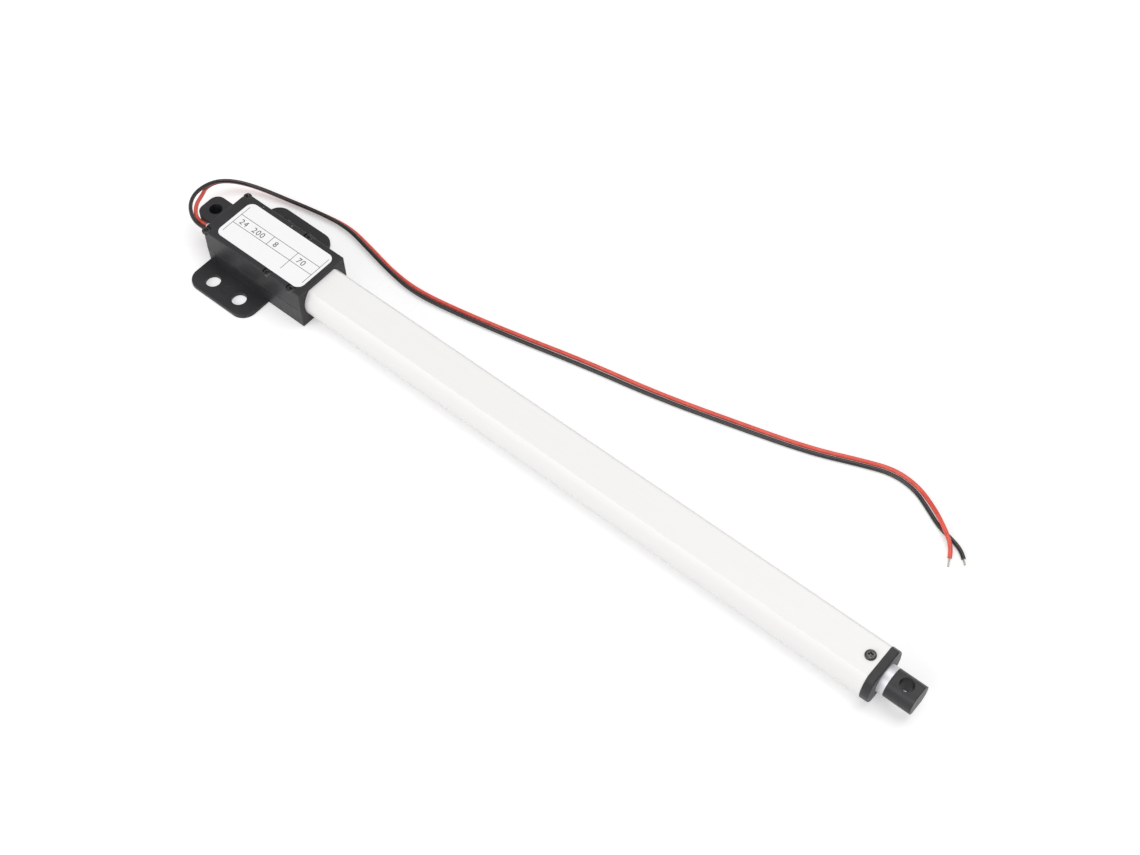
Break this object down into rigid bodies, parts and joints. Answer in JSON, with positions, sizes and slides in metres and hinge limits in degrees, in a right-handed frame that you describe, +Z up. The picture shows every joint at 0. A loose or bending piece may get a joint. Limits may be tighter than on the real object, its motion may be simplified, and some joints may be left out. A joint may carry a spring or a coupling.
{
  "type": "linear_actuator",
  "caption": "Slim electric linear actuator: flat-sided tube with a sliding rod, gear housing with ears, rear lug and wire pair.",
  "frame": {"origin": "centre of the rear pin hole, on the actuator's axis", "axes": "+X along the actuator towards the rod end, +Z up through the label, +Y to the side"},
  "size_m": [0.2772, 0.0818, 0.015],
  "materials": {
    "black_plastic": "moulded, satin",
    "sealant": "milky glue",
    "screw_steel": "plated",
    "label_film": "printed white film",
    "coated_aluminium": "satin white anodised",
    "black_screw": "blackened",
    "seal_rubber": "smooth",
    "rod_metal": "smooth satin",
    "white_plastic": "moulded",
    "gear_brass": "cut",
    "gear_steel": "cut",
    "plate_brass": "stamped",
    "motor_steel": "drawn",
    "bearing_steel": "polished",
    "board_laminate": "green lacquer",
    "switch_plastic": "moulded",
    "red_insulation": "smooth",
    "black_insulation": "smooth",
    "tinned_copper": "tinned strands"
  },
  "bodies": {
    "base": {"housing_lower": "black_plastic", "housing_cover": "black_plastic", "exit_sealant": "sealant", "cover_screws": "black_screw", "label": "label_film", "outer_tube": "coated_aluminium", "front_cap": "black_plastic", "cap_screw": "black_screw", "rod_seal": "seal_rubber", "gear_plate_rear": "plate_brass", "gear_plate_front": "plate_brass", "gear_pillars": "plate_brass", "gear_arbor": "gear_steel", "motor_can": "motor_steel", "motor_end_cap": "white_plastic", "motor_terminals": "plate_brass", "bearing_outer_ring": "bearing_steel", "limit_board": "board_laminate", "limit_switch_rear": "switch_plastic", "limit_switch_front": "switch_plastic", "red_wire": "red_insulation", "red_wire_tip": "tinned_copper", "black_wire": "black_insulation", "black_wire_tip": "tinned_copper"},
    "screw": {"lead_screw": "screw_steel", "output_gear": "gear_steel", "bearing_inner_ring": "bearing_steel"},
    "third_gear_body": {"third_gear": "gear_steel"},
    "second_gear_body": {"second_gear": "gear_steel"},
    "first_gear_body": {"first_gear": "gear_steel"},
    "motor_rotor": {"motor_shaft": "gear_steel", "motor_pinion": "gear_brass"},
    "cage_body": {"bearing_cage": "plate_brass", "bearing_balls": "bearing_steel"},
    "rod": {"rod_tube": "rod_metal", "rod_end": "black_plastic", "drive_nut": "white_plastic"}
  },
  "joints": [
    {"name": "rod_slide", "type": "slide", "parent": "base", "child": "rod", "axis": [1, 0, 0], "range_m": [0, 0.2]},
    {"name": "lead_screw_spin", "type": "hinge", "parent": "base", "child": "screw", "pos_m": [0.026, 0, 0], "axis": [-1, 0, 0], "range_deg": [0, 36000]},
    {"name": "third_gear_spin", "type": "hinge", "parent": "base", "child": "third_gear_body", "pos_m": [0.0245, 0.0045, 0], "axis": [-1, 0, 0], "range_deg": [-93600, 0]},
    {"name": "second_gear_spin", "type": "hinge", "parent": "base", "child": "second_gear_body", "pos_m": [0.0234, 0, 0], "axis": [-1, 0, 0], "range_deg": [0, 243360]},
    {"name": "first_gear_spin", "type": "hinge", "parent": "base", "child": "first_gear_body", "pos_m": [0.0225, 0.0045, 0], "axis": [-1, 0, 0], "range_deg": [-632736, 0]},
    {"name": "motor_spin", "type": "hinge", "parent": "base", "child": "motor_rotor", "pos_m": [0.0155, 0, 0], "axis": [-1, 0, 0], "range_deg": [0, 1645113.6]},
    {"name": "bearing_cage_spin", "type": "hinge", "parent": "base", "child": "cage_body", "pos_m": [0.02825, 0, 0], "axis": [-1, 0, 0], "range_deg": [0, 14677.2]}
  ],
  "couplings": [
    {"joint": "lead_screw_spin", "follows": "rod_slide", "rad_per_m": 3141.6},
    {"joint": "third_gear_spin", "follows": "rod_slide", "rad_per_m": -8168.1},
    {"joint": "second_gear_spin", "follows": "rod_slide", "rad_per_m": 21237},
    {"joint": "first_gear_spin", "follows": "rod_slide", "rad_per_m": -55217},
    {"joint": "motor_spin", "follows": "rod_slide", "rad_per_m": 143560},
    {"joint": "bearing_cage_spin", "follows": "rod_slide", "rad_per_m": 1280.8}
  ]
}
